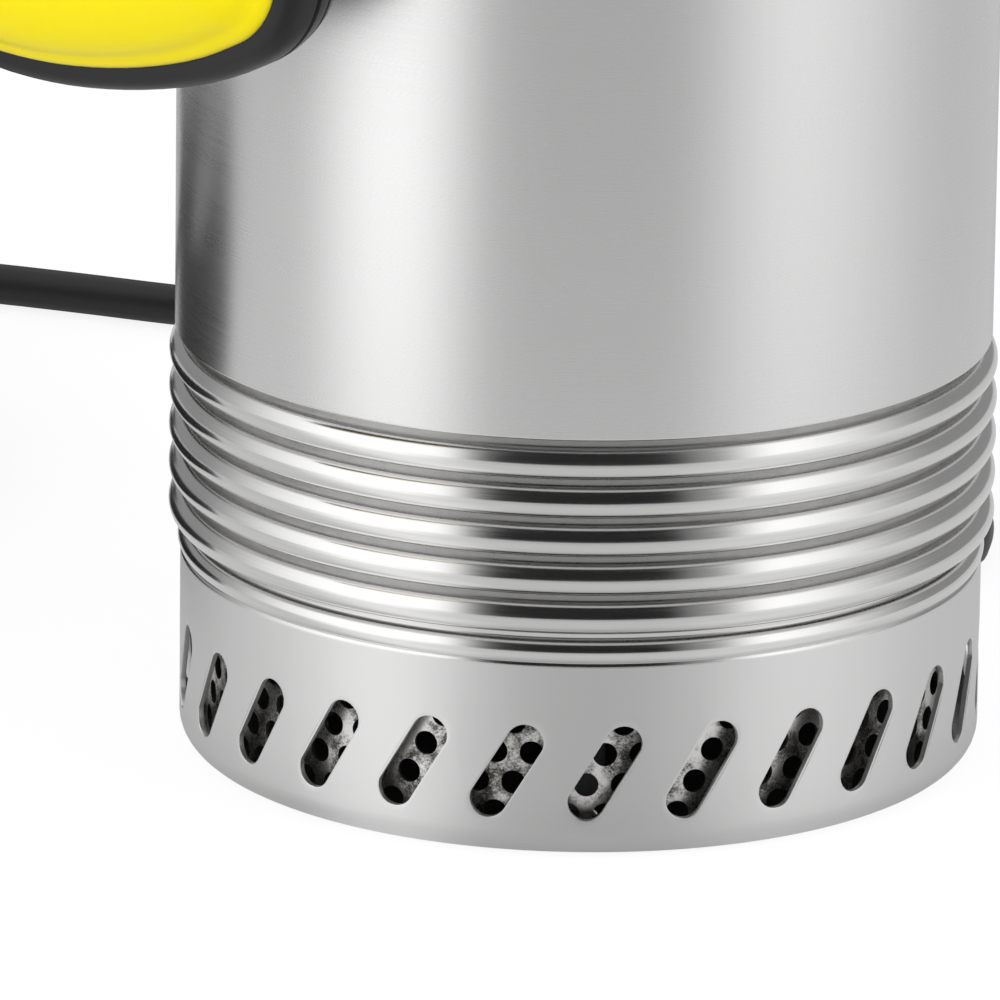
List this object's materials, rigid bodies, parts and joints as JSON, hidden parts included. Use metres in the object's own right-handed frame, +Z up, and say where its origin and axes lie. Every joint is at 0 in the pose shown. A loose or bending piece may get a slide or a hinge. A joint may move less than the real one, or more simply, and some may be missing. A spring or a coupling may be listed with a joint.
{
  "type": "submersible sump pump",
  "caption": "Submersible sump pump with a rolled steel jacket over a slotted strainer, a multistage pump and motor inside, a float switch, a carrying handle and a coiled mains cord.",
  "frame": {"origin": "centre of the strainer's flat base, on the pump's axis, where it stands on the floor", "axes": "+Z up along the pump's axis and shaft, -Y the front of the pump, +X the side of the outlet"},
  "size_m": [0.3887, 0.3865, 0.4882],
  "materials": {
    "steel_brushed": "brushed around, semi-polished",
    "steel_bright": "polished",
    "steel_weathered": "bright with dark patches",
    "zinc_steel": "zinc plated",
    "cast_grey": "cast, painted grey",
    "aluminium_cast": "as cast",
    "stage_plastic": "glass-filled, matt",
    "impeller_plastic": "moulded, satin",
    "black_plastic": "fine-grained, satin",
    "yellow_plastic": "glossy",
    "black_rubber": "matt rubber",
    "ceramic": "ground ceramic",
    "brass": "machined",
    "copper": "enamelled wire",
    "laminations": "stacked sheets",
    "white_plastic": "satin",
    "valve_red": "matt"
  },
  "bodies": {
    "pump": {"strainer_shell": "steel_brushed", "filter_sleeve": "steel_weathered", "strainer_screws": "zinc_steel", "intake_plate": "cast_grey", "lower_oring": "black_rubber", "jacket": "steel_brushed", "stage_casing_1": "stage_plastic", "stage_casing_2": "stage_plastic", "stage_casing_3": "stage_plastic", "stage_casing_4": "stage_plastic", "window_ring": "stage_plastic", "seal_housing": "aluminium_cast", "seal_seat": "ceramic", "lower_bearing": "steel_bright", "motor_can": "steel_brushed", "stator_core": "laminations", "stator_windings": "copper", "motor_cap": "aluminium_cast", "upper_bearing": "steel_bright", "dry_chamber": "black_plastic", "capacitor": "white_plastic", "terminal_block": "white_plastic", "tie_rods": "zinc_steel", "cap_nuts": "steel_bright", "top_cover": "black_plastic", "upper_oring": "black_rubber", "outlet_socket": "brass", "valve_seat": "black_plastic", "valve_guide": "black_plastic", "valve_spring": "steel_bright", "handle": "black_plastic", "handle_screws": "steel_bright", "cord_gland": "black_plastic", "cord_gland_nut": "black_plastic", "cord_relief": "black_rubber", "mains_cord": "black_rubber", "cord_coil": "black_rubber", "cord_tie": "black_rubber", "cord_tail": "black_rubber", "plug_body": "black_rubber", "plug_pins": "brass", "float_gland": "black_plastic", "float_lead": "black_rubber", "float_clip": "black_plastic"},
    "rotor": {"pump_shaft": "steel_bright", "rotor_core": "laminations", "impeller_1": "impeller_plastic", "impeller_2": "impeller_plastic", "impeller_3": "impeller_plastic", "impeller_4": "impeller_plastic", "shaft_sleeves": "steel_bright", "shaft_nut": "zinc_steel", "seal_rotor": "black_rubber"},
    "valve": {"valve_poppet": "valve_red"},
    "float": {"float_front": "yellow_plastic", "float_rear": "black_plastic", "float_cable": "black_rubber", "float_boot": "black_rubber", "ball_guide": "white_plastic"},
    "ball": {"float_ball": "steel_bright"}
  },
  "joints": [
    {"name": "rotor_spin", "type": "hinge", "parent": "pump", "child": "rotor", "pos_m": [0, 0, 0.2], "axis": [0, 0, 1], "continuous": true},
    {"name": "valve_lift", "type": "slide", "parent": "pump", "child": "valve", "axis": [0, 0, 1], "range_m": [0, 0.005], "stiffness_N_per_m": 120, "deforming": ["valve_spring"]},
    {"name": "float_swing", "type": "hinge", "parent": "pump", "child": "float", "pos_m": [-0.08281, -0.06422, 0.338], "axis": [-0.8192, 0.5736, 0], "range_deg": [0, 110]},
    {"name": "ball_roll", "type": "slide", "parent": "float", "child": "ball", "axis": [0, 0, 1], "range_m": [0, 0.026]}
  ]
}
